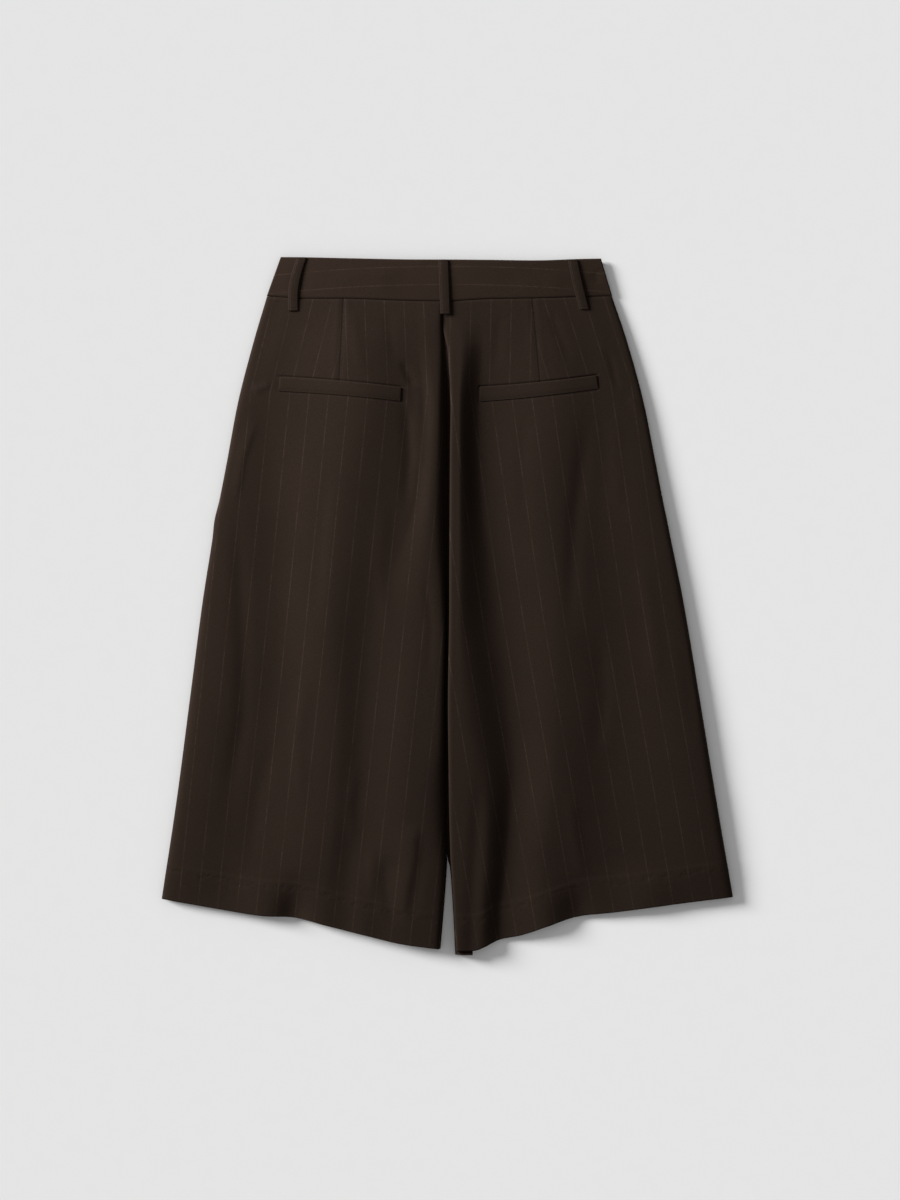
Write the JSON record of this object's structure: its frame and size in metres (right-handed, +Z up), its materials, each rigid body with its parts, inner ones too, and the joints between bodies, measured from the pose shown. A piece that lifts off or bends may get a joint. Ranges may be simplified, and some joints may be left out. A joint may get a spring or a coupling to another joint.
{
  "type": "bermuda shorts",
  "caption": "Wide-leg pinstriped bermuda shorts laid flat with the back up, with darts, welt pockets, belt loops and turned-up hems.",
  "frame": {"origin": "on the surface that the shorts lie on, under the middle of their outline seen from above", "axes": "+X to the right as seen from above, +Y from the hems to the waist, +Z up from the surface"},
  "size_m": [0.5709, 0.697, 0.0159],
  "materials": {
    "suiting": "matte dark brown suiting with fine broken light-brown pinstripes",
    "zip_tape": "matte woven tape",
    "hook_metal": "satin nickel"
  },
  "bodies": {
    "root": {"back_left": "suiting", "back_right": "suiting", "front_left": "suiting", "front_right": "suiting", "waistband_back": "suiting", "waistband_front_left": "suiting", "waistband_front_right": "suiting", "pocket_welt_left": "suiting", "pocket_welt_right": "suiting", "belt_loop_left": "suiting", "belt_loop_centre": "suiting", "belt_loop_right": "suiting", "belt_loop_front_left": "suiting", "belt_loop_front_right": "suiting", "fly_zip": "zip_tape", "waist_hook": "hook_metal"}
  },
  "joints": []
}
